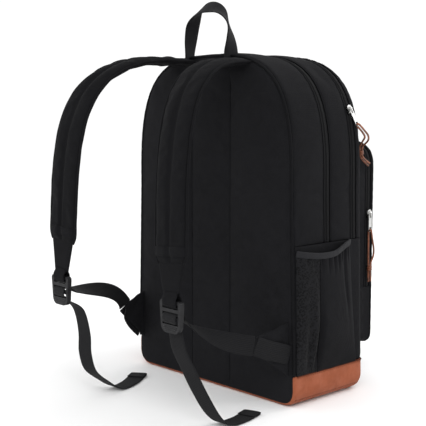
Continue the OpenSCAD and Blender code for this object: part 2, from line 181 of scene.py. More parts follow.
class Shade:
    """A procedural material: one Principled shader, and short calls for its nodes."""

    def __init__(self, name, colour, roughness, specular, **sockets):
        self.material = bpy.data.materials.new(name)
        self.material.use_nodes = True
        self.tree = self.material.node_tree
        self.shader = self.tree.nodes["Principled BSDF"]
        self.feed(self.shader, {"Base Color": colour, "Roughness": roughness,
                                "Specular IOR Level": specular})
        self.feed(self.shader, {name.replace("_", " "): sockets[name] for name in sockets})

    def feed(self, node, inputs):
        """Gives each input of a node its constant, or the output of another node."""
        for name, value in inputs.items():
            socket = node.inputs[name]
            if isinstance(value, bpy.types.NodeSocket):
                self.tree.links.new(value, socket)
            else:
                socket.default_value = (*value, 1) if socket.type == "RGBA" else value

    def node(self, kind, inputs, **settings):
        made = self.tree.nodes.new("ShaderNode" + kind)
        for name, value in settings.items():
            setattr(made, name, value)
        self.feed(made, inputs)
        return made

    def coords(self, kind="Object", stretch=(1, 1, 1)):
        source = self.node("TexCoord", {}).outputs[kind]
        return self.node("Mapping", {"Vector": source, "Scale": stretch}).outputs["Vector"]

    def noise(self, scale, detail=3.0, vector=None, rough=0.5):
        return self.node("TexNoise", {"Vector": vector or self.coords(), "Scale": scale,
                                      "Detail": detail, "Roughness": rough}).outputs["Fac"]

    def wave(self, axis, pitch, vector=None):
        """Bands across one axis, one every pitch metres."""
        inputs = {"Vector": vector or self.coords(), "Scale": 0.314 / pitch}
        return self.node("TexWave", inputs, bands_direction=axis).outputs["Fac"]

    def cells(self, scale, vector):
        return self.node("TexVoronoi", {"Vector": vector, "Scale": scale}).outputs["Distance"]

    def maths(self, how, a, b):
        return self.node("Math", {0: a, 1: b}, operation=how).outputs[0]

    def spread(self, value, low, high, to_low=0.0, to_high=1.0):
        return self.node("MapRange", {"Value": value, "From Min": low, "From Max": high,
                                      "To Min": to_low, "To Max": to_high}).outputs["Result"]

    def mix(self, share, a, b):
        return self.node("Mix", {"Factor": share, 6: a, 7: b}, data_type="RGBA").outputs[2]

    def flecks(self, tone, mask, share, colour):
        """The tone with a share of another colour where the mask is bright."""
        return self.mix(self.maths("MULTIPLY", mask, share), tone, colour)

    def colour(self, value):
        self.feed(self.shader, {"Base Color": value})

    def roughness(self, value):
        self.feed(self.shader, {"Roughness": value})

    def bump(self, height, distance, strength=1.0):
        """Adds one layer of relief over those already there."""
        made = self.node("Bump", {"Height": height, "Distance": distance,
                                  "Strength": strength})
        under = self.shader.inputs["Normal"].links
        if under:
            self.feed(made, {"Normal": under[0].from_socket})
        self.feed(self.shader, {"Normal": made.outputs["Normal"]})


def scaled(colour, share):
    return tuple(c * share for c in colour)


def woven(name, colour, pitch=0.9 * MM, roughness=0.88):
    """Plain-woven cloth: threads both ways on every face, soft blotches and a little lint."""
    shade = Shade(name, colour, roughness, 0.05, Sheen_Weight=0.01, Sheen_Roughness=0.5)
    threads = shade.maths("ADD", shade.wave("X", pitch), shade.wave("Y", pitch))
    threads = shade.maths("ADD", threads, shade.wave("Z", pitch))
    blotch = shade.spread(shade.noise(7, 4), 0.3, 0.7)
    fine = shade.spread(shade.noise(700, 2), 0.35, 0.75)
    grain = shade.spread(shade.noise(85, 5, rough=0.65), 0.34, 0.68)
    tone = shade.mix(blotch, scaled(colour, 0.8), scaled(colour, 1.25))
    tone = shade.flecks(tone, grain, 0.4, scaled(colour, 1.6))
    shade.colour(shade.flecks(tone, fine, 0.35, scaled(colour, 1.9)))
    shade.bump(shade.noise(26, 4), 1.2 * MM, 0.45)
    shade.bump(threads, 0.16 * MM, 0.6)
    shade.bump(fine, 0.08 * MM, 0.5)
    return shade.material


def ribbed(name, colour, pitch, across=False):
    """Webbing or tape: ribs along its length by its own UVs, in metres, and a cross weave."""
    shade = Shade(name, colour, 0.8, 0.14, Sheen_Weight=0.02, Sheen_Roughness=0.45)
    uv = shade.coords("UV")
    ribs = shade.wave("Y" if across else "X", pitch, uv)
    picks = shade.wave("X" if across else "Y", pitch * 0.45, uv)
    # painted shade in the ribs' hollows and painted highlight on their crests, following the ribs' relief
    tone = shade.mix(ribs, scaled(colour, 0.7), scaled(colour, 1.5))
    shade.colour(shade.flecks(tone, shade.noise(500, 2), 0.4, scaled(colour, 2.2)))
    shade.bump(ribs, 0.35 * MM, 0.8)
    shade.bump(picks, 0.12 * MM, 0.6)
    return shade.material


def netting(name, colour):
    """Knitted mesh: round holes in a honeycomb, with painted shade in them and painted highlight on the threads.
    """
    shade = Shade(name, colour, 0.85, 0.1, Sheen_Weight=0.02)
    shaded_holes = shade.cells(420, shade.coords("Object", (0.4, 1, 1)))
    thread = shade.spread(shaded_holes, 0.25, 0.6)
    # painted shade in the holes and a painted highlight on the threads, from the same mask as the relief
    shade.colour(shade.mix(thread, scaled(colour, 0.4), scaled(colour, 1.6)))
    shade.bump(thread, 0.5 * MM, 0.9)
    shade.bump(shade.noise(60, 3), 0.8 * MM, 0.4)
    return shade.material


def suede(name, colour):
    """Tan nubuck: cloudy colour, rubbed edges and a short nap."""
    shade = Shade(name, colour, 0.72, 0.2, Sheen_Weight=0.04, Sheen_Roughness=0.4)
    cloud = shade.spread(shade.noise(14, 5, rough=0.6), 0.35, 0.68)
    rub = shade.spread(shade.noise(60, 4, rough=0.65), 0.4, 0.72)
    tone = shade.mix(cloud, scaled(colour, 0.82), scaled(colour, 1.12))
    paler = tuple(min(1.0, c * 1.35 + 0.03) for c in colour)
    shade.colour(shade.flecks(tone, rub, 0.45, paler))
    shade.roughness(shade.spread(shade.noise(90, 3), 0.3, 0.7, 0.62, 0.8))
    shade.bump(shade.noise(38, 4), 0.9 * MM, 0.5)
    shade.bump(shade.noise(900, 3), 0.12 * MM, 0.7)
    return shade.material


def cord_leather(name, colour):
    """Waxed round lace: darker and paler in patches at random."""
    shade = Shade(name, colour, 0.5, 0.45)
    light_dark_patches = shade.spread(shade.noise(160, 4, rough=0.65), 0.38, 0.72)
    shade.colour(shade.mix(light_dark_patches, scaled(colour, 0.55), scaled(colour, 1.7)))
    shade.bump(shade.noise(520, 4), 0.22 * MM, 0.8)
    return shade.material


def moulded(name, colour):
    """Black acetal: satin, with the faint grain of its mould."""
    shade = Shade(name, colour, 0.4, 0.14)
    shade.roughness(shade.spread(shade.noise(120, 3), 0.3, 0.7, 0.3, 0.46))
    cloud = shade.spread(shade.noise(200, 2), 0.4, 0.7)
    shade.colour(shade.mix(cloud, colour, scaled(colour, 1.5)))
    shade.bump(shade.noise(1500, 2), 0.03 * MM, 0.5)
    return shade.material


def nickel(name, colour):
    """Bright nickel plate with hairline scratches."""
    shade = Shade(name, colour, 0.2, 0.5, Metallic=1.0)
    lines = shade.noise(900, 3, shade.coords("Object", (1, 1, 0.12)))
    shade.roughness(shade.spread(lines, 0.3, 0.75, 0.14, 0.34))
    shade.colour(shade.mix(shade.noise(300, 3), scaled(colour, 0.85), colour))
    shade.bump(lines, 0.02 * MM, 0.6)
    return shade.material


FABRIC = (0.0085, 0.0085, 0.0096)
SHADES = {
    "panel_fabric": woven("panel_cloth", FABRIC),
    # the gusset cloth is the panel's black cloth made darker: painted shade against the key light on the sides
    "gusset_fabric": woven("gusset_cloth", scaled(FABRIC, 0.85)),
    # the strap cloth is the same black cloth made darker: painted shade on the straps
    "strap_fabric": woven("strap_cloth", scaled(FABRIC, 0.68), 0.8 * MM),
    "lining": woven("lining_cloth", (0.03, 0.03, 0.033), 0.5 * MM),
    "foam": woven("foam_skin", (0.1, 0.1, 0.105), 2 * MM),
    "piping": woven("piping_cloth", scaled(FABRIC, 0.75), 0.6 * MM),
    # the zip tape is darker than the cloth: painted shade for the channel it sinks into under the fabric's edges
    "zip_tape": ribbed("zip_tape_painted_shade", scaled(FABRIC, 0.7), 0.9 * MM),
    "webbing": ribbed("webbing_weave", scaled(FABRIC, 0.72), 2.2 * MM),
    "elastic": ribbed("elastic_rib", scaled(FABRIC, 1.5), 1.4 * MM, across=True),
    "mesh": netting("pocket_net", scaled(FABRIC, 0.72)),
    "leather": suede("tan_suede", (0.262, 0.070, 0.029)),
    "lace_leather": cord_leather("lace_wax", (0.19, 0.062, 0.028)),
    "buckle_plastic": moulded("buckle_acetal", (0.012, 0.012, 0.013)),
    "zip_metal": nickel("slider_nickel", (0.62, 0.62, 0.61)),
}
THREAD = woven("sewing_thread", scaled(FABRIC, 1.25), 0.4 * MM, 0.7)
# the coil is darker than the cloth too: painted shade in the zip's channel
ZIP_COIL_SHADED = ribbed("zip_coil_painted_shade", scaled(FABRIC, 0.6), 1 * MM)
TAN_THREAD = woven("tan_thread", (0.17, 0.05, 0.024), 0.4 * MM, 0.7)
CUT_EDGE = woven("leather_cut_edge", (0.06, 0.016, 0.008), 1 * MM)


# ---- mesh building

def make_piece(name, slot, points, faces, uvs=None, material=None):
    """A smooth-shaded mesh that takes its finish from a slot. uvs holds one pair per vertex."""
    mesh = bpy.data.meshes.new(name)
    mesh.from_pydata([tuple(p) for p in points], [], [tuple(int(i) for i in f) for f in faces])
    mesh.polygons.foreach_set("use_smooth", [True] * len(mesh.polygons))
    if uvs is not None:
        layer = mesh.uv_layers.new(name="UVMap")
        picked = np.array([loop.vertex_index for loop in mesh.loops])
        layer.data.foreach_set("uv", np.asarray(uvs, float)[picked].ravel())
    mesh.materials.append(material or SHADES[slot])
    obj = add(name, mesh)
    return obj


def smooth_skin(obj, thickness=0.0, offset=-1.0, levels=1):
    """Gives an open sheet its thickness, then rounds it."""
    if thickness:
        solid = obj.modifiers.new("thickness", "SOLIDIFY")
        solid.thickness = thickness
        solid.offset = offset
        solid.use_even_offset = False
    subdivision = obj.modifiers.new("round", "SUBSURF")
    subdivision.levels = subdivision.render_levels = levels
    return obj


def grid_of(rows, columns, closed=False):
    """Point numbers of a grid, row by row. A closed one ends with its first column again."""
    grid = np.arange(rows * columns).reshape(rows, columns)
    return np.column_stack([grid, grid[:, 0]]) if closed else grid


def grid_quads(grid, flip=False):
    quads = np.stack([grid[:-1, :-1], grid[:-1, 1:], grid[1:, 1:], grid[1:, :-1]],
                     axis=-1).reshape(-1, 4)
    return quads[:, ::-1] if flip else quads


def loft(name, slot, lines, uvs=None, material=None):
    """A closed bar, from the lines of points that run along it, in order round its section."""
    count, rows = len(lines), len(lines[0])
    first = np.arange(count)
    faces = grid_quads(grid_of(rows, count, closed=True)).tolist()
    faces += [first[::-1], first + (rows - 1) * count]
    if uvs is not None:
        uvs = np.stack(uvs, axis=1).reshape(-1, 2)
    return make_piece(name, slot, np.stack(lines, axis=1).reshape(-1, 3), faces, uvs, material)


def unit(v):
    v = np.asarray(v, float)
    return v / np.maximum(np.linalg.norm(v, axis=-1, keepdims=True), 1e-12)


def bezier(p, t):
    t = np.asarray(t, float)[..., None]
    return ((1 - t) ** 3 * p[0] + 3 * t * (1 - t) ** 2 * p[1] + 3 * t * t * (1 - t) * p[2]
            + t ** 3 * p[3])


def smooth_path(points, step):
    """Even points on a Catmull-Rom curve through the given ones."""
    p = np.vstack([2 * points[0] - points[1], points, 2 * points[-1] - points[-2]])
    fine = []
    for i in range(1, len(p) - 2):
        for t in np.linspace(0, 1, 24, endpoint=i == len(p) - 3):
            a, b, c, d = p[i - 1:i + 3]
            fine.append(0.5 * (2 * b + (c - a) * t + (2 * a - 5 * b + 4 * c - d) * t * t
                               + (3 * b - a - 3 * c + d) * t ** 3))
    return resample(np.array(fine), step=step)


def resample(points, count=None, step=None):
    """Points at even distances along a polyline: count stretches, or about one per step."""
    lengths = distances(points)
    if count is None:
        count = max(2, round(lengths[-1] / step))
    at = np.linspace(0, lengths[-1], count + 1)
    return np.column_stack([np.interp(at, lengths, points[:, k])
                            for k in range(points.shape[1])])


def path_frames(path, sides):
    """Unit vectors across and out of a strap at each point of its path."""
    along = unit(np.gradient(path, axis=0))
    sides = np.broadcast_to(np.asarray(sides, float), path.shape)
    across = unit(sides - (sides * along).sum(1, keepdims=True) * along)
    return across, np.cross(along, across)


def distances(path):
    return np.r_[0, np.cumsum(np.linalg.norm(np.diff(path, axis=0), axis=1))]


# Corners of a strap's section, from one edge over the top: across, and out of its face
ROUND_TOP = [(-0.97, 0.35), (-0.85, 1), (-0.4, 1), (0, 1), (0.4, 1), (0.85, 1), (0.97, 0.35)]


def ribbon(name, slot, path, sides, widths, thickness):
    """A closed flat strap along a path, with rounded edges and UVs in metres."""
    across, out = path_frames(path, sides)
    half = np.broadcast_to(np.asarray(widths, float), len(path)) / 2
    profile = [(-1, 0), *ROUND_TOP, (1, 0), *[(-u, -v) for u, v in ROUND_TOP]]
    run = distances(path)
    lines = [path + (u * half)[:, None] * across + v * thickness / 2 * out for u, v in profile]
    uvs = [np.column_stack([u * half, run]) for u, _ in profile]
    return smooth_skin(loft(name, slot, lines, uvs))


def tube(name, slot, path, radius, sides=8, material=None):
    """A round cord or piping along a path, as a mesh."""
    along = unit(np.gradient(path, axis=0))
    across = [unit(np.cross(along[0], [0.31, 0.52, 0.79]))]
    for a in along[1:]:
        across.append(unit(across[-1] - (across[-1] @ a) * a))
    across = np.array(across)
    out = np.cross(along, across)
    angles = np.arange(sides) * 2 * math.pi / sides
    lines = [path + radius * (math.cos(a) * across + math.sin(a) * out) for a in angles]
    run = distances(path)
    uvs = [np.column_stack([np.full(len(path), a * MM), run]) for a in angles]
    return loft(name, slot, lines, uvs, material)


def stitches(name, slot, runs, body=None, pitch=3.6 * MM, length=2.6 * MM, width=0.7 * MM,
             material=None):
    """Rows of thread on a seam: each run is its points and the outward direction at each."""
    height = 0.35 * MM
    points, faces = [], []
    ring = [(1, 0), (0.35, 1), (-0.35, 1), (-1, 0)]
    for path, outward in runs:
        run = distances(path)
        count = max(1, int(run[-1] / pitch))
        outward = np.broadcast_to(np.asarray(outward, float), path.shape)
        for middle in (np.arange(count) + 0.5) * run[-1] / count:
            at = [middle - length / 2, middle, middle + length / 2]
            p = np.column_stack([np.interp(at, run, path[:, k]) for k in range(3)])
            o = unit(np.array([np.interp(middle, run, outward[:, k]) for k in range(3)]))
            a = unit(p[2] - p[0])
            c = np.cross(a, o)
            start = len(points)
            points.append(p[0])
            for share in (0.35, 0.65):
                q = p[0] + share * (p[2] - p[0])
                points += [q + x * width / 2 * c + y * height * o for x, y in ring]
            points.append(p[2])
            for k in range(3):
                faces.append((start, start + 2 + k, start + 1 + k))
                faces.append((start + 1 + k, start + 2 + k, start + 6 + k, start + 5 + k))
                faces.append((start + 9, start + 5 + k, start + 6 + k))
    obj = make_piece(name, slot, points, faces, material=material or THREAD)
    if body:
        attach(obj, body)
    return obj


# ---- cloth

CLOTH_FRAMES = 18
CLOTH = dict(quality=6, mass=0.25, air_damping=4, bending_stiffness=0.6, use_pressure=True)


def settle(obj, pins, pressure, stiffness, slack, cap):
    """Inflates a piece as cloth that is held at its pins, and applies the result."""
    rest = points_of(obj)
    group = obj.vertex_groups.new(name="pin")
    group.add(np.nonzero(pins)[0].tolist(), 1.0, "REPLACE")
    cloth = obj.modifiers.new("cloth", "CLOTH")
    settings = cloth.settings
    for name, value in CLOTH.items():
        setattr(settings, name, value)
    settings.tension_stiffness = settings.compression_stiffness = stiffness
    settings.shear_stiffness = stiffness / 2
    settings.vertex_group_mass = "pin"
    settings.uniform_pressure_force = pressure
    settings.shrink_min = -slack
    settings.effector_weights.gravity = 0
    cloth.collision_settings.use_collision = False
    cloth.point_cache.frame_start, cloth.point_cache.frame_end = 1, CLOTH_FRAMES
    for number in range(1, CLOTH_FRAMES + 1):
        scene.frame_set(number)
    moved = points_of(obj.evaluated_get(bpy.context.evaluated_depsgraph_get())) - rest
    far = np.linalg.norm(moved, axis=1, keepdims=True)
    moved *= cap * np.tanh(far / cap) / np.maximum(far, 1e-9)
    obj.modifiers.remove(cloth)
    obj.data.vertices.foreach_set("co", (rest + moved).ravel())
    obj.data.update()
    scene.frame_set(1)


def points_of(obj):
    return np.array([v.co for v in obj.data.vertices])


def wander(points, scale, seed):
    """Smooth noise from -1 to 1 at each point."""
    shift = Vector((seed * 7.31, seed * 3.17, seed * 5.73))
    return np.array([noise.noise(Vector(p) * scale + shift) for p in points])


# ---- bag shells

def side_spread(z):
    """How far the bag's side stands out at this height, beyond its width at the shoulder."""
    return SPREAD * np.maximum(0, 1 - np.asarray(z) / SHOULDER_Z)


def outline_runs(half_w, base_z, shoulder_z, top_z, power, corner_r, spread=0.0):
    """The bottom, right and top runs of an upright outline, as close (x, z) points."""
    def corner(sign, angles):
        a = np.radians(angles)
        return np.column_stack([sign * (half_w - corner_r) + corner_r * np.cos(a),
                                base_z + corner_r + corner_r * np.sin(a)])

    def arch(angles):
        a = np.radians(angles)
        c, s = np.cos(a), np.abs(np.sin(a))
        return np.column_stack([half_w * np.sign(c) * np.abs(c) ** (2 / power),
                                shoulder_z + (top_z - shoulder_z) * s ** (2 / power)])

    def widened(run):
        wide = spread * np.maximum(0, 1 - run[:, 1] / shoulder_z)
        return np.column_stack([run[:, 0] + np.sign(run[:, 0]) * wide, run[:, 1]])

    turn = 48
    bottom = np.vstack([corner(-1, np.linspace(-135, -90, 12)),
                        corner(1, np.linspace(-90, -45, 12))])
    right = np.vstack([corner(1, np.linspace(-45, 0, 12)), arch(np.linspace(0, turn, 120))])
    top = arch(np.linspace(turn, 180 - turn, 120))
    return widened(bottom), widened(right), top


def split_at(run, heights, step):
    """Resamples an upward run so that it has a point at each height, and the counts used."""
    cuts = [0] + [int(np.argmin(np.abs(run[:, 1] - h))) for h in heights] + [len(run) - 1]
    parts, counts = [], []
    for a, b in zip(cuts, cuts[1:]):
        part = resample(run[a:b + 1], step=step)
        parts.append(part[:-1])
        counts.append(len(part) - 1)
    parts.append(run[-1:])
    return np.vstack(parts), counts


class Shell:
    """The skin of a bag: loops of its outline from back to front, and a face at each end."""

    def __init__(self, ys, inset, heights, **shape):
        step = 5 * MM
        bottom, right, top = outline_runs(**shape)
        bottom = resample(bottom, step=step)
        top = resample(top, count=len(bottom) - 1)
        right, self.counts = split_at(resample(right, count=1500), heights, step)
        left = right[::-1] * [-1, 1]
        self.across, self.up = len(bottom) - 1, len(right) - 1
        loop = np.vstack([bottom[:-1], right[:-1], top[:-1], left[:-1]])
        self.n = len(loop)
        self.ys = np.array(ys)
        along = unit(np.roll(loop, -1, axis=0) - np.roll(loop, 1, axis=0))
        outward = np.column_stack([along[:, 1], -along[:, 0]])
        run = distances(loop)
        rings, uvs = [], []
        for y in ys:
            ring = loop - inset(y) * outward
            rings.append(np.column_stack([ring[:, 0], np.full(self.n, y), ring[:, 1]]))
            uvs.append(np.column_stack([np.full(self.n, y), run]))
        self.points = np.vstack(rings)
        self.uvs = np.vstack(uvs)
        zero = np.zeros(self.n)
        self.outward = np.tile(np.column_stack([outward[:, 0], zero, outward[:, 1]]),
                               (len(ys), 1))
        self.back = self.fill(0, 1)
        self.front = self.fill(len(ys) - 1, -1)

    def ring(self, k):
        return np.arange(self.n) + k * self.n

    def fill(self, k, facing):
        """A grid of points that closes the shell at loop k, level from its first break up."""
        across, up, level, first = self.across, self.up, self.counts[0], k * self.n
        grid = np.zeros((up + 1, across + 1), int)
        grid[0, :] = first + np.arange(across + 1)
        grid[:, across] = first + across + np.arange(up + 1)
        grid[up, :] = first + across + up + across - np.arange(across + 1)
        grid[:, 0] = first + -np.arange(up + 1) % self.n
        u = np.linspace(0, 1, across + 1)[None, :, None]
        rows = np.arange(up + 1)[:, None, None]
        low_share = np.clip(1 - rows / level, 0, 1) ** 2
        high_share = np.clip((rows - level) / (up - level), 0, 1) ** 1.6
        p = self.points
        span = (1 - u) * p[grid[:, 0]][:, None] + u * p[grid[:, across]][:, None]
        patch = (span + low_share * (p[grid[0]][None] - span[:1])
                 + high_share * (p[grid[up]][None] - span[up:]))
        inner = patch[1:-1, 1:-1].reshape(-1, 3)
        grid[1:-1, 1:-1] = len(p) + np.arange(len(inner)).reshape(up - 1, across - 1)
        self.points = np.vstack([p, inner])
        self.uvs = np.vstack([self.uvs, inner[:, [0, 2]]])
        self.outward = np.vstack([self.outward, np.tile([0, facing, 0], (len(inner), 1))])
        return grid

    def height(self, j):
        """How far up the right run the outline's j-th break is, as a count of points."""
        return int(sum(self.counts[:j]))

    def span_right(self, low, high):
        return self.across + np.arange(self.height(low), self.height(high) + 1)

    def span_left(self, low, high):
        return -np.arange(self.height(high), self.height(low) - 1, -1) % self.n

    def span_over(self, low):
        """Loop positions from a break on the right, over the top, to the same on the left."""
        return np.arange(self.across + self.height(low), self.n - self.height(low) + 1)

    def span_under(self, low):
        """Loop positions from a break on the left, under the bag, to the same on the right."""
        return np.arange(-self.height(low), self.across + self.height(low) + 1) % self.n

    def strip(self, positions, y0, y1):
        """Grid of points on the skin: loop positions by the loops between two depths."""
        k0, k1 = self.loop_at(y0), self.loop_at(y1)
        return np.array([[k * self.n + p for p in positions] for k in range(k0, k1 + 1)])

    def line(self, y, positions, out):
        """The points of one loop, moved outwards."""
        index = self.loop_at(y) * self.n + positions
        return self.points[index] + out * self.outward[index]

    def loop_at(self, y):
        return int(np.argmin(np.abs(self.ys - y)))


def cut_out(name, slot, points, quads, uvs):
    """A piece made of some of the quads of a larger grid of points."""
    used, again = np.unique(quads, return_inverse=True)
    return make_piece(name, slot, points[used], again.reshape(quads.shape), uvs[used])


def piece_from(name, slot, shell, grids, thickness=1.8 * MM, levels=1, points=None,
               flip=False):
    """A separate piece cut from a settled shell, with its own thickness."""
    points = shell.points if points is None else points
    quads = np.vstack([grid_quads(grid, flip) for grid in grids])
    return smooth_skin(cut_out(name, slot, points, quads, shell.uvs), thickness,
                       levels=levels)


def settle_shell(shell, name, pinned, cap):
    """Runs the whole skin as one cloth, so that its pieces still meet at their seams."""
    quads = [grid_quads(shell.strip(np.arange(shell.n + 1) % shell.n, shell.ys[0],
                                    shell.ys[-1])),
             grid_quads(shell.back, True), grid_quads(shell.front)]
    obj = make_piece(name, "panel_fabric", shell.points, np.vstack(quads))
    settle(obj, pinned, pressure=5, stiffness=12, slack=0.012, cap=cap)
    shell.points = points_of(obj)
    bpy.data.objects.remove(obj)


# ---- the bag

# Depths of the skin's loops, close together at the seams and the rounded front edge
BODY_YS = mm(69.2, 66.4, 64, 58, 51, 44, 37, 30, 23, 16, 9, 5, 3, 1, -3, -9, -16, -23, -30,
             -37, -44, -48, -50, -52, -56, -59, -62, -65, -67, -68.6, -69.6, -70)
FRONT_SEAM = -67 * MM
EDGE_R = 10 * MM
ZIP_SINK = 0.9 * MM
CHANNEL_X = 38 * MM


def rounding(depth, front, radius):
    """How far a skin turns in at this depth, for a rounded front edge."""
    past = np.clip((front + radius) - depth, 0, radius)
    return radius - math.sqrt(radius ** 2 - past ** 2)


def body_inset(y):
    """How far the skin turns in at this depth: under the piping, and round the front edge."""
    if y > 69 * MM:
        return 3.2 * MM
    if y > 66 * MM:
        return 0.7 * MM
    return rounding(y, FRONT_Y, EDGE_R)


def channel_column(shell, x):
    """The points of the back panel that a channel seam at x runs through, from the foot up."""
    return shell.back[:, np.argmin(np.abs(shell.points[shell.back[20], 0] - x))]


def body_shell():
    """The main bag's skin, puffed out between its seams."""
    shell = Shell(BODY_YS, body_inset, [BAND_Z, ZIP_START_Z], half_w=HALF_W, base_z=0.0,
                  shoulder_z=SHOULDER_Z, top_z=TOP_Z, power=ARCH_POWER, corner_r=CORNER_R,
                  spread=SPREAD)
    p = shell.points
    held = np.zeros(len(p))
    for y in (*MAIN_ZIP, *FRONT_ZIP, BODY_YS[0], BODY_YS[1], FRONT_SEAM):
        held[shell.ring(shell.loop_at(y))] = 1
    for low, high in (MAIN_ZIP, FRONT_ZIP):
        held[shell.strip(np.arange(shell.n), high, low).ravel()] = 1
    held[p[:, 2] < BAND_Z + 1 * MM] = 1
    for x in (-CHANNEL_X, CHANNEL_X):
        channel = channel_column(shell, x)[1:-1]
        p[channel, 0] = x
        p[channel, 1] -= 1.2 * MM
        held[channel] = 1
    # How far the cloth may move from its flat shape: in general, and at each face
    cap = np.full((len(p), 1), 3.0 * MM)
    sides = (np.abs(p[:, 0]) > HALF_W - 4 * MM) & (p[:, 2] < 0.26)
    cap[sides] = 1.6 * MM
    cap[shell.back.ravel()] = 8 * MM
    cap[shell.front.ravel()] = 2 * MM
    settle_shell(shell, "body_cloth", held, cap)
    lift = 0.5 * MM * wander(shell.points, 24, 1) + 0.25 * MM * wander(shell.points, 60, 2)
    shell.points += (lift * (1 - held))[:, None] * shell.outward
    return shell


def seam_pull(shell, y_lines):
    """Draws the skin in and out along a seam, as its thread does, fading away from it."""
    depth, pitch = 0.3 * MM, 14 * MM
    y = shell.points[:, 1]
    run = shell.uvs[:, 1]
    near = sum(np.exp(-((y - line) / (5 * MM)) ** 2) for line in y_lines)
    wave = np.sin(run * 2 * math.pi / pitch + 1.7 * np.sin(run * 23))
    loops = np.arange(len(y)) < shell.n * len(shell.ys)
    shell.points += (depth * wave * near * loops)[:, None] * shell.outward


def cover(obj, *nodes):
    """A piece of the bag itself, in place of its CAD nodes if it has any."""
    if nodes:
        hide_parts(*nodes)
    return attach(obj, "bag")


def zip_fastener(name, shell, positions, depths):
    """Woven tape below the fabric's edges, and the coil of teeth along its middle."""
    front, back = depths
    grid = shell.strip(positions, back, front)
    lowered = shell.points.copy()
    lowered[np.unique(grid)] -= ZIP_SINK * shell.outward[np.unique(grid)]
    cover(piece_from(f"{name}_tape", "zip_tape", shell, [grid], 1.0 * MM, points=lowered), name)
    index = shell.loop_at((front + back) / 2) * shell.n + positions
    tooth_step, half_w, rise, stagger = 1.05 * MM, 2.1 * MM, 1.15 * MM, 0.7 * MM
    half_l, sink = 0.36 * MM, 0.1 * MM
    path = resample(lowered[index], step=tooth_step)
    outward = unit(resample(lowered[index] + 5 * MM * shell.outward[index],
                            count=len(path) - 1) - path)
    points, faces = [], []
    shape = [(-1, 0), (-0.8, 0.8), (-0.2, 1), (0.2, 1), (0.8, 0.8), (1, 0)]
    for i in range(1, len(path) - 1):
        along = unit(path[i + 1] - path[i - 1])
        side = np.cross(along, outward[i])
        shift = stagger if i % 2 else -stagger
        start = len(points)
        for end in (-half_l, half_l):
            for u, v in shape:
                points.append(path[i] + end * along + (half_w * u + shift) * side
                              + (rise * v - sink) * outward[i])
        n = len(shape)
        faces += [(start + k, start + k + 1, start + n + k + 1, start + n + k)
                  for k in range(n - 1)]
        faces += [tuple(start + k for k in range(n - 1, -1, -1)),
                  tuple(start + n + k for k in range(n))]
    teeth = make_piece(f"{name}_teeth", "zip_tape", points, faces, material=ZIP_COIL_SHADED)
    cover(teeth)
    for k, y in enumerate((back, front)):
        line = shell.line(y, positions, 0.15 * MM)
        cover(tube(f"{name}_lip_{k}", "gusset_fabric", resample(line, step=4 * MM), 0.6 * MM,
                   sides=6))


def seam_row(shell, positions, y):
    """One run for stitches(): a line of the skin at one depth, and its outward direction."""
    k = shell.loop_at(y)
    share = 0.0
    if abs(shell.ys[k] - y) > 1e-5:
        if shell.ys[k] < y:
            k -= 1
        share = (shell.ys[k] - y) / (shell.ys[k] - shell.ys[k + 1])
    here, there = k * shell.n + positions, min(k + 1, len(shell.ys) - 1) * shell.n + positions
    line = (1 - share) * shell.points[here] + share * shell.points[there]
    return line + 0.1 * MM * shell.outward[here], shell.outward[here]


def build_body():
    """Cuts the settled skin into its panels, gussets and leather, and sews them together."""
    shell = body_shell()
    seam_pull(shell, (*MAIN_ZIP, *FRONT_ZIP, 64 * MM))
    over = shell.span_over(2)
    low_over = shell.span_over(1)
    edge = BODY_YS[1]
    cloth = shell.points.copy()
    under = np.nonzero(cloth[:, 2] < BAND_Z + 2.5 * MM)[0]
    cloth[under] -= 1.3 * MM * shell.outward[under]
    level = shell.height(1)

    panel = piece_from("back_panel_cover", "panel_fabric", shell, [shell.back], 2 * MM,
                       flip=True)
    cover(panel, "back_panel")

    ring = shell.ring(0)[low_over], shell.ring(1)[low_over]
    middle = (shell.points[ring[0]] + shell.points[ring[1]]) / 2 + 0.35 * MM * unit(
        shell.outward[ring[0]] + [0, 1, 0])
    cover(tube("seam_piping_cord", "piping", resample(middle, step=3 * MM), 1.9 * MM, 10),
          "seam_piping")

    for name, y0, y1 in (("back_gusset", edge, MAIN_ZIP[1]),
                         ("middle_gusset", MAIN_ZIP[0], FRONT_ZIP[1]),
                         ("front_gusset", FRONT_ZIP[0], FRONT_SEAM)):
        cover(piece_from(f"{name}_cloth", "gusset_fabric", shell,
                         [shell.strip(over, y0, y1)]), name)
    zip_fastener("main_zip", shell, over, MAIN_ZIP)
    zip_fastener("front_zip", shell, over, FRONT_ZIP)
    for side, positions in (("right", shell.span_right(1, 2)), ("left", shell.span_left(1, 2))):
        grid = shell.strip(positions, edge, FRONT_SEAM)
        cover(piece_from(f"side_panel_{side}_cloth", "gusset_fabric", shell, [grid],
                         points=cloth), f"side_panel_{side}")
    front = [shell.strip(low_over, FRONT_SEAM, FRONT_Y), shell.front[level:]]
    cover(piece_from("front_panel_cloth", "panel_fabric", shell, front, points=cloth),
          "front_panel")

    leather = [shell.strip(shell.span_under(1), BODY_YS[0], FRONT_Y),
               shell.front[:level + 1]]
    cover(piece_from("leather_base", "leather", shell, leather, 2.4 * MM, levels=2),
          "base_panel")
    stitch_gussets(shell, over, edge)
    stitch_back_panel(shell)
    stitch_leather(shell, level)


def stitch_gussets(shell, over, edge):
    """A row of thread beside each edge of the zips, and one beside the piping."""
    rows = (MAIN_ZIP[1] + 3.2 * MM, MAIN_ZIP[0] - 3.2 * MM, FRONT_ZIP[1] + 3.2 * MM,
            FRONT_ZIP[0] - 2.6 * MM, edge - 4 * MM)
    stitches("gusset_stitches", "gusset_fabric", [seam_row(shell, over, y) for y in rows],
             "bag")


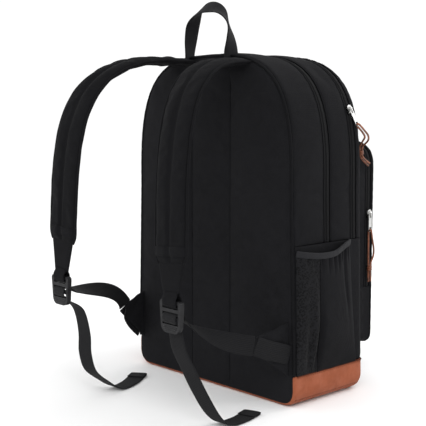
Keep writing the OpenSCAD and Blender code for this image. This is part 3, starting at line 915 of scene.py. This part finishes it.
def stitch_back_panel(shell):
    """The two channel seams with their cords, and the row along the piping."""
    rows = shell.back
    runs = []
    for x in (-CHANNEL_X, CHANNEL_X):
        line = shell.points[channel_column(shell, x)[2:-2]] + [0, 0.3 * MM, 0]
        runs.append((resample(line, step=5 * MM) + [1.6 * MM, 0, 0], (0, 1, 0)))
        cover(tube(f"back_channel_{len(runs)}", "piping", resample(line, step=4 * MM),
                   0.9 * MM, 6))
    border = np.r_[rows[2:-1, 1], rows[-2, 2:-2], rows[-2:1:-1, -2]]
    runs.append((resample(shell.points[border] + [0, 0.2 * MM, 0], step=5 * MM), (0, 1, 0)))
    stitches("back_panel_stitches", "panel_fabric", runs, "bag")


def stitch_leather(shell, level):
    """Two rows of thread round the leather, and just over each of them a dark cut edge."""
    runs = []
    for label, drop, lift, out_by in (("edge", 3 * MM, 2.4 * MM, 0.2 * MM),
                                      ("welt", BAND_Z - 8 * MM, 2.2 * MM, 0.4 * MM)):
        height = BAND_Z - drop
        for positions in (shell.span_right(0, 1), shell.span_left(0, 1)):
            index = np.array([k * shell.n + positions for k in range(2, len(shell.ys))])
            line = np.array([level_point(shell.points[row], height) for row in index])
            out = np.tile([math.copysign(1.0, line[0, 0]), 0, 0], (len(line), 1))
            runs.append((line + 0.2 * MM * out, out))
        columns = shell.points[shell.front[:level + 1].T]
        line = np.array([level_point(column, height) for column in columns])
        runs.append((line - [0, 0.2 * MM, 0], np.array([0, -1, 0])))
        for k, (line, out) in enumerate(runs[-3:]):
            line = line + out_by * out + [0, 0, lift]
            cover(tube(f"leather_{label}_{k}", "leather", resample(line, step=4 * MM),
                       0.9 * MM, 6, CUT_EDGE))
    stitches("leather_stitches", "leather", runs, "bag", pitch=4 * MM, length=2.9 * MM,
             width=0.8 * MM, material=TAN_THREAD)


def level_point(column, z):
    """The point of an upright run of points at one height."""
    order = np.argsort(column[:, 2])
    return np.array([np.interp(z, column[order, 2], column[order, k]) for k in range(3)])


# Depths of the front pocket's loops, close together at its zip and its rounded edge
POCKET_YS = mm(-69, -73, -79, -85, -91, -97, -103, -108, -112, -116, -118, -120, -124,
               -125.6, -127, -128.4, -129.5, -130)
POCKET_SEAM = -127 * MM
POCKET_EDGE_R = 6 * MM


def build_front_pocket():
    """The zipped pocket on the front, puffed like the bag and made up the same way."""
    shell = Shell(POCKET_YS, lambda y: rounding(y, POCKET_FRONT_Y, POCKET_EDGE_R),
                  [POCKET_ZIP_END_Z], half_w=pocket_hi.x, base_z=pocket_lo.z,
                  shoulder_z=POCKET_SHOULDER_Z, top_z=pocket_hi.z, power=POCKET_POWER,
                  corner_r=POCKET_CORNER_R)
    held = np.zeros(len(shell.points))
    for y in (POCKET_YS[0], *POCKET_ZIP, POCKET_SEAM):
        held[shell.ring(shell.loop_at(y))] = 1
    held[shell.strip(np.arange(shell.n), POCKET_ZIP[1], POCKET_ZIP[0]).ravel()] = 1
    cap = np.full((len(held), 1), 2.2 * MM)
    cap[shell.front.ravel()] = 6 * MM
    settle_shell(shell, "pocket_cloth", held, cap)
    lift = 0.5 * MM * wander(shell.points, 26, 3)
    shell.points += (lift * (1 - held))[:, None] * shell.outward
    seam_pull(shell, POCKET_ZIP)
    over = shell.span_over(1)
    around = np.arange(shell.n + 1) % shell.n
    under = shell.span_under(1)
    gusset = [shell.strip(around, POCKET_YS[0], POCKET_ZIP[1]),
              shell.strip(under, POCKET_ZIP[1], POCKET_ZIP[0]),
              shell.strip(around, POCKET_ZIP[0], POCKET_SEAM)]
    cover(piece_from("pocket_gusset_cloth", "gusset_fabric", shell, gusset), "pocket_gusset")
    panel = [shell.strip(around, POCKET_SEAM, POCKET_FRONT_Y), shell.front]
    cover(piece_from("pocket_panel_cloth", "panel_fabric", shell, panel), "pocket_panel")
    zip_fastener("pocket_zip", shell, over, POCKET_ZIP)
    line = shell.line(POCKET_SEAM, around, 0.5 * MM)
    cover(tube("pocket_piping", "piping", resample(line, step=3 * MM), 1.5 * MM, 8))
    runs = [seam_row(shell, over, POCKET_ZIP[1] + 3 * MM),
            seam_row(shell, around, POCKET_YS[1] - 1 * MM)]
    stitches("pocket_stitches", "gusset_fabric", runs, "bag")


def dent(x, middle, width):
    """A smooth bump of height 1 about a middle."""
    return np.exp(-((x - middle) / width) ** 2)


def build_side_pocket(side):
    """Bottle pocket: a net pleat at its back, a cloth panel in front, and an elastic mouth."""
    sign = 1 if side == "right" else -1
    lo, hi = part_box(f"side_pocket_{side}")
    mouth_lo, mouth_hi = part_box(f"pocket_binding_{side}")
    reach = max(abs(lo.x), abs(hi.x)) - HALF_W - float(side_spread(lo.z))
    rows, columns, net_columns = 40, 84, 28
    v = np.linspace(0, 1, rows + 1)[:, None]
    t = np.linspace(0, 1, columns + 1)[None, :]
    front_y = lo.y - 9 * MM * (1 - v) ** 1.5 + 3 * MM * v
    y = hi.y - 1 * MM + (front_y - hi.y) * t
    mouth_z = mouth_lo.z + (-1 - 5 * np.sin(math.pi * np.minimum(1, t / 0.85))
                            + 6 * np.maximum(0, t - 0.6) / 0.4) * MM
    z = lo.z - 1 * MM + (mouth_z + 1 * MM - lo.z) * v
    bow = np.sin(math.pi * t) ** 0.6
    fill = np.minimum(1, (v / 0.4) ** 0.8) * (1 - 0.1 * v ** 3)
    phase = 2 * math.pi * (11 * t + 0.5 * np.sin(6 * t + 1))
    gather = (1.9 * np.abs(np.sin(phase / 2)) ** 0.7 - 1.5) * np.sin(math.pi * t) ** 0.4
    fold = 2.6 * MM * gather * dent(v, 0.97, 0.09) * (0.3 + 1.0 * t)
    pleat = -6.5 * MM * dent(t, 0.30 + 0.03 * np.sin(3 * v), 0.035) * dent(v, 0.2, 0.42)
    pleat = pleat - 4 * MM * dent(t, 0.18, 0.05) * dent(v, 0.28, 0.3)
    pleat = pleat - 3 * MM * dent(t, 0.80 + 0.10 * (1 - v), 0.035) * dent(v, 0.75, 0.3)
    slump = 1.6 * MM * np.sin(math.pi * t) * np.sin(3.1 * v + 4 * t) * np.sin(math.pi * v)
    x = HALF_W + side_spread(z) + 0.6 * MM + np.maximum(
        0, reach * bow * fill + fold + pleat + slump)
    points = np.stack([sign * x, y + 0 * x, z + 0 * x], axis=-1)
    flat = points.reshape(-1, 3)
    flat = flat + (0.35 * MM * wander(flat, 70, 4))[:, None] * [sign, 0, 0]
    grid = grid_of(rows + 1, columns + 1)
    pieces = []
    for label, slot, own in (("net", "mesh", grid[:, :net_columns + 1]),
                             ("cloth", "gusset_fabric", grid[:, net_columns:])):
        piece = cut_out(f"side_pocket_{side}_{label}", slot, flat, grid_quads(own, sign < 0),
                        flat[:, 1:])
        pieces.append(smooth_skin(piece, 1.0 * MM, 0.0))
    net, cloth = pieces
    cover(net, f"side_pocket_{side}")
    cover(cloth)
    seam = flat[grid[:, net_columns]] + [sign * 0.7 * MM, 0, 0]
    cover(tube(f"side_pocket_{side}_seam", "piping", resample(seam, step=3 * MM), 0.8 * MM, 6))
    row = resample(seam - [0, 1.5 * MM, 0], step=3 * MM)
    stitches(f"side_pocket_{side}_stitches", "gusset_fabric", [(row, (sign, 0, 0))], "bag")
    path = resample(flat[grid[-1]], step=1.5 * MM) + [sign * 1.1 * MM, 0, 1.0 * MM]
    level = np.pad(path[:, 0], 8, mode="reflect", reflect_type="odd")
    path[:, 0] = np.convolve(level, np.full(17, 1 / 17), mode="valid")
    lean = np.column_stack([0.12 * sign * np.ones(len(path)), np.zeros(len(path)),
                            np.ones(len(path))])
    band = ribbon(f"pocket_binding_{side}_elastic", "elastic", path, lean,
                  mouth_hi.z - mouth_lo.z - 0.8 * MM, 3.4 * MM)
    cover(band, f"pocket_binding_{side}")


# ---- haul loop and wings

# The grab handle's centre line, from the right foot over the crown to the left foot, and
# which way the webbing's width points at each place
LOOP_LINE = mm([42.5, 68, 442], [42, 68, 453], [38.5, 69, 472], [32, 71, 490.5],
               [20.5, 74, 503.5], [5, 76, 510.8], [-12, 76, 510.6], [-27, 74, 503.5],
               [-36.8, 71, 488.5], [-39.5, 69, 470], [-39, 68, 453], [-39, 68, 442])
LOOP_SIDES = np.array([[-0.3, 0.95, 0], [-0.3, 0.95, 0], [-0.1, 1, 0], [0, 1, -0.1],
                       [-0.1, 0.85, -0.4], [-0.25, 0.75, -0.6], [-0.3, 0.72, -0.6],
                       [-0.5, 0.75, -0.4], [-0.7, 0.7, -0.1], [-0.35, 0.93, 0], [0, 1, 0],
                       [0, 1, 0]])


def build_haul_loop():
    """One length of webbing sewn into the top seam, twisted a little as it is by carrying."""
    both = smooth_path(np.hstack([LOOP_LINE, LOOP_SIDES * 0.01 * MM]), 2.5 * MM)
    loop = ribbon("haul_loop_webbing", "webbing", both[:, :3], both[:, 3:], WEBBING_W,
                  2.4 * MM)
    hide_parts("haul_loop", "haul_loop_feet")
    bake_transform(loop)


WING_WEBBING = {
    "right": mm([140.8, 109.5, 96.8], [142.6, 104, 84.5], [145, 92, 68], [149.5, 73, 52]),
    "left": mm([139.7, 122.2, 88], [141.2, 116, 85.6], [143.6, 105, 81], [149.5, 69.5, 69]),
}


def build_wing(side):
    """Fabric tab from the side seam, with the lower webbing sewn down its outer face."""
    sign = 1 if side == "right" else -1
    lo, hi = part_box(f"strap_wing_{side}")
    turn = math.radians(8)
    rows, columns = 14, 12
    u = np.linspace(0, 1, rows + 1)[:, None]
    v = np.linspace(0, 1, columns + 1)[None, :]
    tip_low, tip_high = WING_TIPS[side]
    root_low, root_high = np.array([-3 * MM, lo.z]), np.array([-3 * MM, hi.z])
    low = root_low + (tip_low - root_low) * u[..., None]
    high = root_high + (tip_high - root_high) * u[..., None]
    reach, z = np.moveaxis(low + (high - low) * v[..., None], -1, 0)
    x = HALF_W - 4.5 * MM - math.sin(turn) * reach
    x = x + 1.2 * MM * np.sin(9 * u + 4 * v) * u * (1 - u) * 4
    y = BACK_Y + math.cos(turn) * reach
    points = np.stack([sign * x, y, z], axis=-1)
    wing = make_piece(f"strap_wing_{side}_tab", "panel_fabric", points.reshape(-1, 3),
                      grid_quads(grid_of(rows + 1, columns + 1), sign > 0))
    cover(smooth_skin(wing, 3.4 * MM, 0.0), f"strap_wing_{side}")
    rim = [points[2:-1, 1], points[-2, 1:-1], points[2:-1, -2]]
    runs = [(resample(line, step=3 * MM) + [face * 1.8 * MM, 0, 0], (face, 0, 0))
            for line in rim for face in (-1, 1)]
    stitches(f"strap_wing_{side}_stitches", "panel_fabric", runs, "bag")
    sewn = smooth_path(WING_WEBBING[side] * [sign, 1, 1], 2.5 * MM)
    cover(ribbon(f"strap_wing_{side}_webbing", "webbing", sewn, (0, 0.3, 1), WEBBING_W,
                 WEBBING_T))


# ---- shoulder straps

def strap_blend(side, *objects):
    """Bakes each piece's transform into its mesh."""
    for obj in objects:
        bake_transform(obj)


def build_pad(side):
    """Foam strap: two soft lobes either side of a centre seam, bound at both edges."""
    curve = STRAPS[side]
    start = curve[0] - 11 * MM * unit(curve[1] - curve[0])
    main = bezier(curve, np.linspace(0, PAD_END_T[side], 300))
    path = resample(np.vstack([start, main]), step=4.2 * MM)
    across, out = path_frames(path, (1, 0, 0))
    run = distances(path)
    left = run[-1] - run
    u = np.linspace(-1, 1, 15)
    half_w = (PAD_W / 2 - 1 * MM) * np.ones(len(path))
    half_w -= 5 * MM * np.clip(1 - left / (14 * MM), 0, 1) ** 2
    thick = PAD_T * (0.35 + 0.65 * np.clip(left / (18 * MM), 0, 1) ** 0.6)
    thick *= 0.62 + 0.38 * np.clip(run / (40 * MM), 0, 1)
    dome = (1 - np.abs(u) ** 3.4) ** 0.6 * (1 - 0.72 * np.exp(-(u / 0.08) ** 2))
    profile = list(zip(u, dome)) + list(zip(u[-2:0:-1], -dome[-2:0:-1]))
    n = len(profile)
    lines = [path + (a * half_w)[:, None] * across + (b * thick / 2)[:, None] * out
             for a, b in profile]
    pad = loft(f"strap_pad_{side}_cover", "strap_fabric", lines)
    held = np.zeros((len(path), n))
    held[:, [0, 7, 14, 21]] = 1
    held[:2] = held[-2:] = 1
    settle(pad, held.ravel(), pressure=6, stiffness=10, slack=0.022, cap=2.6 * MM)
    points = points_of(pad).reshape(len(path), n, 3)
    smooth_skin(pad)
    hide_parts(f"strap_pad_{side}", f"strap_root_{side}")

    trims = []
    for k, label in ((0, "inner"), (14, "outer")):
        line = points[:, k].copy()
        ruffle = wander(line, 55, k + 5) * 0.9 * MM
        line += ruffle[:, None] * out + 0.5 * ruffle[:, None] * across
        trims.append(tube(f"strap_pad_{side}_{label}_binding", "strap_fabric",
                          resample(line, step=3 * MM), 1.7 * MM, 8))
    runs = []
    for k, face in ((7, 1), (21, -1)):
        line = points[2:-1, k] + face * 0.25 * MM * out[2:-1]
        runs.append((line, face * out[2:-1]))
    trims.append(stitches(f"strap_pad_{side}_stitches", "strap_fabric", runs))
    i0, i1 = len(path) - 6, len(path) - 3
    ring = points[i0:i1 + 1]
    centre = ring.mean(axis=1, keepdims=True)
    ring = ring + 0.8 * MM * unit(ring - centre)
    uvs = np.stack([np.broadcast_to(np.arange(n) * 4 * MM, ring.shape[:2]),
                    np.broadcast_to(run[i0:i1 + 1, None], ring.shape[:2])], axis=-1)
    band = make_piece(f"strap_pad_{side}_band", "piping", ring.reshape(-1, 3),
                      grid_quads(grid_of(len(ring), n, closed=True)), uvs.reshape(-1, 2))
    strap_blend(side, pad, *trims, smooth_skin(band, 1.0 * MM, 0.0))


def build_taper(side):
    """Flat end of the strap, narrowing to the webbing that is looped through the lock."""
    curve = STRAPS[side]
    path = resample(bezier(curve, np.linspace(PAD_END_T[side] - 0.02, 0.992, 60)), step=3 * MM)
    run = distances(path) / distances(path)[-1]
    width = (51 - 20 * run) * MM
    taper = ribbon(f"strap_taper_{side}_cloth", "strap_fabric", path, (1, 0, 0), width,
                   3.0 * MM)
    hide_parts(f"strap_taper_{side}")
    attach(taper, f"strap_{side}")
    across, out = path_frames(path, (1, 0, 0))
    runs = []
    for face in (-1, 1):
        for edge in (-1, 1):
            line = path + (edge * (width / 2 - 3 * MM))[:, None] * across
            runs.append((line + face * 1.6 * MM * out, face * out))
    stitches(f"strap_taper_{side}_stitches", "strap_fabric", runs, f"strap_{side}")
    x, y, z = curve[3]
    lean = (curve[2] - curve[3]) / (curve[2] - curve[3])[2]
    front = mm([0, 1.6, 8], [0, 2.4, 4], [0, 4.4, 0], [0, 4.7, -4], [0, 3.6, -9])
    loop = np.vstack([front, mm([0, 0, -10.7]), front[::-1] * [1, -1, 1]])
    loop = np.array([x, y, z]) + loop + np.clip(loop[:, 2:], 0, None) * [lean[0], lean[1], 0]
    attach(ribbon(f"buckle_loop_{side}", "strap_fabric", smooth_path(loop, 1.2 * MM),
                   (1, 0, 0), WEBBING_W, 2 * MM), f"strap_{side}")


def threaded(side):
    """Where the webbing runs through the lock: behind, over the bar, and back behind."""
    x, y, _ = STRAPS[side][3]
    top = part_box(f"buckle_{side}")[1].z
    turns = mm([0, -5.4, -35], [0, -5.0, -31.6], [0, -2.6, -28.6], [0, 1.0, -27.6],
               [0, 4.4, -25.4], [0, 5.0, -21.4], [0, 4.5, -17.6], [0, 1.0, -15.3],
               [0, -3.6, -15.0], [0, -9.5, -18.2])
    return np.array([x, y, top]) + turns


def build_lower_webbing(side):
    """Webbing from the wing to the lock, edge up at the wing and flat where it is threaded."""
    lower = bezier(LOWER[side], np.linspace(0.02, 1, 40))
    lower = np.vstack([threaded(side), lower])
    path = smooth_path(lower, 2.2 * MM)
    run = distances(path)
    flat = distances(smooth_path(threaded(side), 2.2 * MM))[-1]
    turn = np.clip((run - flat) / (run[-1] - flat), 0, 1) * math.pi / 2
    sides = np.column_stack([np.cos(turn), 0 * turn, np.sin(turn)])
    webbing = ribbon(f"lower_webbing_{side}_run", "webbing", path, sides, WEBBING_W,
                     WEBBING_T)
    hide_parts(f"lower_webbing_{side}")
    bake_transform(webbing)


def build_tail(side):
    """The loose end: down from the lock, along the floor, with its end folded and sewn."""
    path = np.vstack([threaded(side)[:1] + [0, -0.2 * MM, 1 * MM],
                      TAILS[side][0] + [0, -5 * MM, -2 * MM], TAILS[side][1:]])
    path = smooth_path(path, 2.5 * MM)
    path[:, 2] = np.maximum(path[:, 2], 1.4 * MM)
    run = distances(path)
    sway = 0.12 * np.sin(run * 16)
    sides = np.column_stack([np.ones(len(path)), sway, 0 * run])
    tail = ribbon(f"webbing_tail_{side}_run", "webbing", path, sides, WEBBING_W, WEBBING_T)
    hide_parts(f"webbing_tail_{side}")
    across, out = path_frames(path, sides)
    if out[-1, 2] < 0:
        out = -out
    end = run > run[-1] - HEM_L
    hem_path = path[end] + 1.7 * MM * out[end]
    hem = ribbon(f"webbing_tail_{side}_hem", "webbing", hem_path, sides[end],
                 WEBBING_W * 0.99, WEBBING_T)
    across, out = across[end][2:-2], out[end][2:-2]
    rows = [(hem_path[2:-2] + e * 9 * MM * across + 1.0 * MM * out, out) for e in (-1, 1)]
    thread = stitches(f"webbing_tail_{side}_stitches", "webbing", rows)
    for piece in (tail, hem, thread):
        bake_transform(piece)


def build_lock(side):
    """The CAD ladder lock with softened edges, and the ribs moulded on its tongue."""
    node = frame["nodes"][f"buckle_{side}"]
    soften(node, 1.3 * MM, 3)
    lo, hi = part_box(f"buckle_{side}")
    x, y = (lo.x + hi.x) / 2, hi.y
    for k, (rise, half) in enumerate(((7.6, 12.5), (5.4, 11.5), (3.2, 9.5))):
        line = np.column_stack([np.linspace(-half, half, 12) * MM + x,
                                np.full(12, y - 0.1 * MM), np.full(12, lo.z + rise * MM)])
        rib = tube(f"buckle_{side}_rib_{k}", "buckle_plastic", line, 0.6 * MM, 8)
        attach(rib, f"buckle_{side}")


def soften(obj, width, segments):
    """Rounds the sharp edges of a moulded or metal piece."""
    bevel = obj.modifiers.new("soft_edges", "BEVEL")
    bevel.width = width
    bevel.segments = segments
    bevel.limit_method = "ANGLE"
    bevel.angle_limit = math.radians(35)
    bevel.use_clamp_overlap = True
    smooth = obj.modifiers.new("smooth_corners", "WEIGHTED_NORMAL")
    smooth.keep_sharp = True
    obj.data.polygons.foreach_set("use_smooth", [True] * len(obj.data.polygons))


# ---- leather laces

# Each lace's loop from its knot through the tab's eye and back, its two loose ends and its
# knot: from the pull's pivot, along its out, across and up directions, or in the bag's frame
# for the front one, which lies over the pocket

def pull_frame(name):
    """Pivot of a pull, and its out, across and up directions at rest, from its joint."""
    joint = next(j for j in frame["joints"] if j["name"] == f"{name}_pull_flip")
    tab = points_of(frame["nodes"][f"{name}_pull_tab"])
    pivot = np.array(joint["pos_m"])
    across = unit(np.array(joint["axis"]))
    down = tab.mean(axis=0) - pivot
    up = -unit(down - (down @ across) * across)
    out = unit(np.cross(across, up))
    if out[0] * pivot[0] < 0:
        out, across = -out, -across
    return pivot, np.array([out, across, up])


HANGING_LOOP = mm([-1.6, 0, -73], [-2, 0, -66], [-2.3, 0, -50], [-2.3, 0, -32],
                  [-2.2, 0, -24.5], [0, 0, -21.7], [2.4, 0, -24.5], [4.2, 0, -34],
                  [7, 0, -48], [6.5, 0, -58], [3.2, 0, -66], [1.6, 0, -73])
HANGING_TAILS = (mm([-1.5, 0, -81.4], [-1.8, 0, -88], [-1.6, 0, -96]),
                 mm([1.5, 0, -81.4], [1.9, 0, -88], [2.4, 0, -95]))
HANGING_KNOT = mm(0, 0, -77.2)
FRONT_LOOP = mm([-127.8, -90.4, 323.6], [-128.8, -89.4, 328], [-138.5, -82.5, 334.5],
                [-149, -74, 341], [-150.9, -67, 347], [-149.6, -61.5, 352.5],
                [-148.9, -57.1, 356.3], [-150, -56, 358.7], [-153, -57, 357.8],
                [-155.6, -64, 350.5], [-156, -72, 343.5], [-149.5, -81, 337],
                [-138, -89.5, 331.5], [-131.4, -92.6, 328.2], [-130.4, -92.6, 323.6])
FRONT_TAILS = (mm([-127.8, -92.2, 315], [-127.2, -96, 310.5], [-126.4, -105, 304.5],
                  [-126, -112, 300.5]),
               mm([-130.4, -92.8, 315], [-130.6, -96.5, 311], [-130.4, -104, 306.5],
                  [-130.2, -109.5, 304]))
FRONT_KNOT = mm(-129.1, -91.5, 319.3)


def build_lace(name):
    """A lace looped through the tab's eye and knotted: two strands, each to its own end."""
    if name == "front":
        loop, tails, knot = FRONT_LOOP, FRONT_TAILS, FRONT_KNOT
        eye = 7
    else:
        pivot, axes = pull_frame(name)
        loop, knot = pivot + HANGING_LOOP @ axes, pivot + HANGING_KNOT @ axes
        tails = [pivot + tail @ axes for tail in HANGING_TAILS]
        eye = 5
    centre_up = unit(loop[0] - tails[0][0])
    side = unit(loop[0] - loop[-1])
    knot_turns, knot_r, knot_l = 1.8, 2.5 * MM, 5.4 * MM
    knot_path = []
    for share in np.arange(41) / 40:
        a = 2 * math.pi * knot_turns * share
        around = math.cos(a) * side + math.sin(a) * np.cross(centre_up, side)
        knot_path.append(knot + knot_r * around + (share - 0.5) * knot_l * centre_up)
    tie = tube(f"{name}_lace_knot", "lace_leather", smooth_path(np.array(knot_path), 0.8 * MM),
               1.35 * MM, 10)
    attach(tie, f"{name}_pull")
    halves = (np.vstack([loop[eye::-1], tails[0]]), np.vstack([loop[eye:], tails[1]]))
    for k, half in enumerate(halves):
        path = smooth_path(half, 1.6 * MM)
        curve = bpy.data.curves.new(f"{name}_lace_{k}", "CURVE")
        curve.dimensions = "3D"
        curve.bevel_depth = LACE_D / 2
        curve.bevel_resolution = 4
        curve.use_fill_caps = True
        spline = curve.splines.new("POLY")
        spline.points.add(len(path) - 1)
        for point, at in zip(spline.points, path):
            point.co = (*at, 1)
        curve.materials.append(SHADES["lace_leather"])
        lace = add(f"{name}_lace_{k}", curve)
        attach(lace, f"{name}_pull")
        if k == 0:
            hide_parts(f"{name}_lace")


# ---- CAD pieces that stay shown

def finish_cad_nodes():
    """Gives every CAD node its finish, and rounds the edges of the metal ones."""
    for entry in frame["record"]["subparts"]:
        node = frame["nodes"][entry["node"]]
        node.data.materials.clear()
        node.data.materials.append(SHADES[entry["material_slot"]])
    for name in ("main", "front", "pocket"):
        soften(frame["nodes"][f"{name}_slider"], 0.45 * MM, 3)
        soften(frame["nodes"][f"{name}_pull_tab"], 0.3 * MM, 2)


set_camera()
set_studio()
build_body()
build_front_pocket()
for side in ("left", "right"):
    build_side_pocket(side)
    build_wing(side)
    build_pad(side)
    build_taper(side)
    build_lower_webbing(side)
    build_tail(side)
    build_lock(side)
build_haul_loop()
for name in ("main", "front", "pocket"):
    build_lace(name)
finish_cad_nodes()
